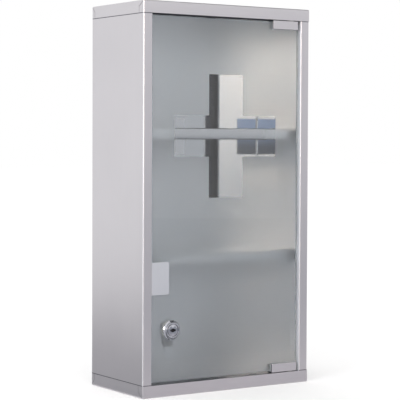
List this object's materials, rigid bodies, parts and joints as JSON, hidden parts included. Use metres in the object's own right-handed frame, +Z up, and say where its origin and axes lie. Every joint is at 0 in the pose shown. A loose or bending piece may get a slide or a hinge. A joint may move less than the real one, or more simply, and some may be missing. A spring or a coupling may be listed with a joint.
{
  "type": "glass door medical cabinet",
  "caption": "Small wall-hung stainless medicine cabinet with a frosted glass door bearing a clear cross, fixed shelves, pivot hinges, a push latch and a cam lock.",
  "frame": {"origin": "middle of the underside, at the centre of the bounding box's base", "axes": "+Z up, the glass door faces -Y, the wall is at +Y, and +X is on the hinge side"},
  "size_m": [0.25, 0.125, 0.48],
  "materials": {
    "satin_steel": "satin stainless sheet with a faint mauve cast",
    "polished_steel": "bright polished stainless sheet",
    "zinc_steel": "zinc plated steel",
    "dark_steel": "blackened steel",
    "frosted_glass": "toughened glass, blasted on the inner face round a clear cross",
    "chrome": "polished chrome plate",
    "clear_rubber": "translucent soft vinyl",
    "white_nylon": "natural nylon",
    "grey_plastic": "moulded grey plastic",
    "magnet": "nickel plated magnet"
  },
  "bodies": {
    "cabinet": {"top_cap": "satin_steel", "bottom_cap": "satin_steel", "left_side_panel": "satin_steel", "right_side_panel": "satin_steel", "back_panel": "polished_steel", "ceiling_panel": "polished_steel", "floor_panel": "polished_steel", "upper_shelf": "polished_steel", "lower_shelf": "polished_steel", "shelf_bracket_upper_left": "polished_steel", "shelf_bracket_upper_right": "polished_steel", "shelf_bracket_lower_left": "polished_steel", "shelf_bracket_lower_right": "polished_steel", "back_rivet_top_1": "zinc_steel", "back_rivet_top_2": "zinc_steel", "back_rivet_top_3": "zinc_steel", "back_rivet_bottom_1": "zinc_steel", "back_rivet_bottom_2": "zinc_steel", "back_rivet_bottom_3": "zinc_steel", "shelf_rivet_upper_left": "zinc_steel", "shelf_rivet_upper_right": "zinc_steel", "shelf_rivet_lower_left": "zinc_steel", "shelf_rivet_lower_right": "zinc_steel", "latch_bracket": "zinc_steel", "latch_spring": "zinc_steel", "latch_screw_1": "zinc_steel", "latch_screw_2": "zinc_steel", "hinge_bush_top": "white_nylon", "hinge_bush_bottom": "white_nylon", "latch_housing": "grey_plastic"},
    "door": {"door_glass": "frosted_glass", "hinge_gasket_top": "clear_rubber", "hinge_gasket_bottom": "clear_rubber", "lock_gasket": "clear_rubber", "hinge_grub_screw_top_1": "dark_steel", "hinge_grub_screw_top_2": "dark_steel", "hinge_grub_screw_bottom_1": "dark_steel", "hinge_grub_screw_bottom_2": "dark_steel", "hinge_clip_top": "satin_steel", "hinge_clip_bottom": "satin_steel", "hinge_pin_top": "zinc_steel", "hinge_pin_bottom": "zinc_steel", "strike_clip": "polished_steel", "lock_barrel": "chrome", "lock_washer": "white_nylon", "lock_nut": "zinc_steel"},
    "lock": {"lock_plug": "chrome", "lock_cam": "zinc_steel", "lock_cam_screw": "zinc_steel"},
    "plunger": {"latch_plunger": "grey_plastic", "latch_magnet": "magnet"}
  },
  "joints": [
    {"name": "door_swing", "type": "hinge", "parent": "cabinet", "child": "door", "pos_m": [0.098, -0.0558, 0], "axis": [0, 0, 1], "range_deg": [0, 115]},
    {"name": "lock_turn", "type": "hinge", "parent": "door", "child": "lock", "pos_m": [-0.0818, -0.0578, 0.0804], "axis": [0, 1, 0], "range_deg": [0, 90]},
    {"name": "latch_push", "type": "slide", "parent": "cabinet", "child": "plunger", "axis": [0, 1, 0], "range_m": [0, 0.003], "stiffness_N_per_m": 300, "springref_m": -0.004, "deforming": ["latch_spring"]}
  ]
}
